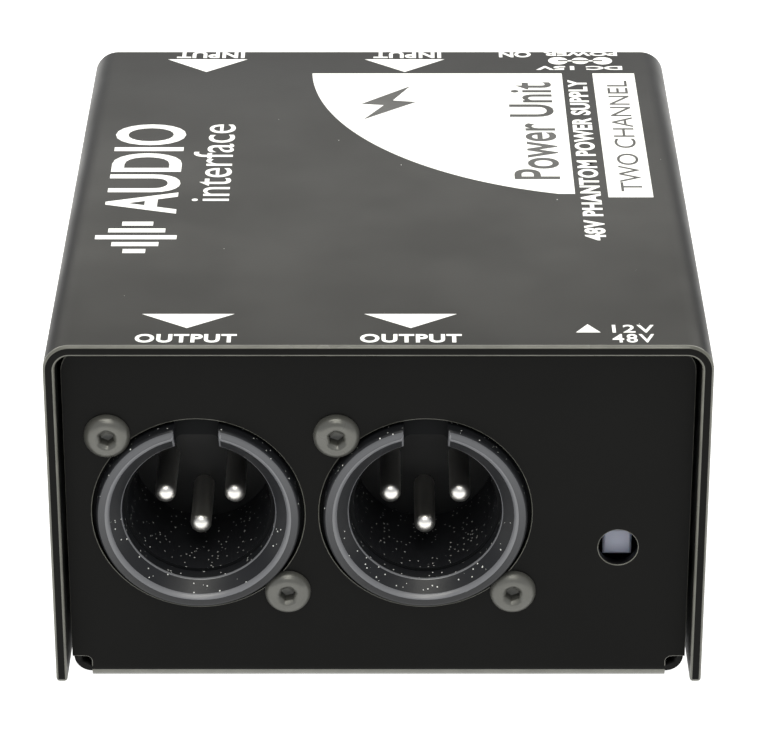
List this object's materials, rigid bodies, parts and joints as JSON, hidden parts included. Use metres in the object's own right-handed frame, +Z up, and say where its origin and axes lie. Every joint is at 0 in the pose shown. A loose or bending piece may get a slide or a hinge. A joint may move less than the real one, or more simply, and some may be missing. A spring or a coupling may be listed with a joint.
{
  "type": "phantom power supply box",
  "caption": "Small black steel book-end case with three-pin audio outputs in front, latching inputs and power inlet behind, and a recessed supply selector.",
  "frame": {"origin": "bottom centre of the whole box, on the surface it stands on", "axes": "+X to the right as seen from the output panel, +Y from the output panel to the input panel, +Z up"},
  "size_m": [0.0732, 0.0864, 0.0455],
  "materials": {
    "coated_steel": "satin black powder coat",
    "pad_rubber": "matt, finely pitted",
    "black_screw_steel": "satin black oxide",
    "plated_steel": "zinc plated",
    "plunger_plastic": "lavender grey",
    "black_nylon": "moulded",
    "charcoal_nylon": "moulded, glass filled",
    "silver_contact": "silver plated brass",
    "latch_metal": "black zinc die casting",
    "spring_steel": "bright",
    "tinned_brass": "tinned",
    "lamp_resin": "diffused red",
    "board_laminate": "green solder mask",
    "capacitor_sleeve": "shrink sleeve",
    "ferrite": "sintered",
    "chip_epoxy": "moulded",
    "resistor_coat": "lacquered"
  },
  "bodies": {
    "case": {"outer_cover": "coated_steel", "inner_chassis": "coated_steel", "bottom_pad": "pad_rubber", "cover_screws": "black_screw_steel", "clinch_nuts": "plated_steel", "output_screws": "black_screw_steel", "input_screws": "black_screw_steel", "selector_body": "black_nylon", "selector_spring": "spring_steel", "selector_terminals": "tinned_brass", "power_inlet_housing": "black_nylon", "power_inlet_pin": "tinned_brass", "power_inlet_contact": "tinned_brass", "power_lamp": "lamp_resin", "power_lamp_leads": "tinned_brass", "main_board": "board_laminate", "board_standoffs": "plated_steel", "board_screws": "plated_steel", "reservoir_capacitors": "capacitor_sleeve", "output_capacitors": "capacitor_sleeve", "storage_inductor": "ferrite", "converter_chip": "chip_epoxy", "feed_resistors": "resistor_coat", "rectifier_diode": "chip_epoxy", "output_1_housing": "charcoal_nylon", "output_1_pins": "silver_contact", "output_1_pin_carrier": "black_nylon", "input_1_housing": "charcoal_nylon", "input_1_contacts": "silver_contact", "input_1_socket_insert": "black_nylon", "input_1_latch_pin": "plated_steel", "input_1_latch_spring": "spring_steel", "output_2_housing": "charcoal_nylon", "output_2_pins": "silver_contact", "output_2_pin_carrier": "black_nylon", "input_2_housing": "charcoal_nylon", "input_2_contacts": "silver_contact", "input_2_socket_insert": "black_nylon", "input_2_latch_pin": "plated_steel", "input_2_latch_spring": "spring_steel"},
    "selector_button": {"selector_plunger": "plunger_plastic"},
    "latch_1": {"input_1_latch": "latch_metal"},
    "latch_2": {"input_2_latch": "latch_metal"}
  },
  "joints": [
    {"name": "selector_press", "type": "slide", "parent": "case", "child": "selector_button", "axis": [0, 1, 0], "range_m": [0, 0.002], "stiffness_N_per_m": 700, "springref_m": -0.0015, "deforming": ["selector_spring"]},
    {"name": "latch_1_rock", "type": "hinge", "parent": "case", "child": "latch_1", "pos_m": [-0.02015, 0.0352, 0.0354], "axis": [-1, 0, 0], "range_deg": [0, 8], "stiffness_Nm_per_rad": 0.02, "springref_deg": -17.19, "deforming": ["input_1_latch_spring"]},
    {"name": "latch_2_rock", "type": "hinge", "parent": "case", "child": "latch_2", "pos_m": [0.00525, 0.0352, 0.0354], "axis": [-1, 0, 0], "range_deg": [0, 8], "stiffness_Nm_per_rad": 0.02, "springref_deg": -17.19, "deforming": ["input_2_latch_spring"]}
  ]
}
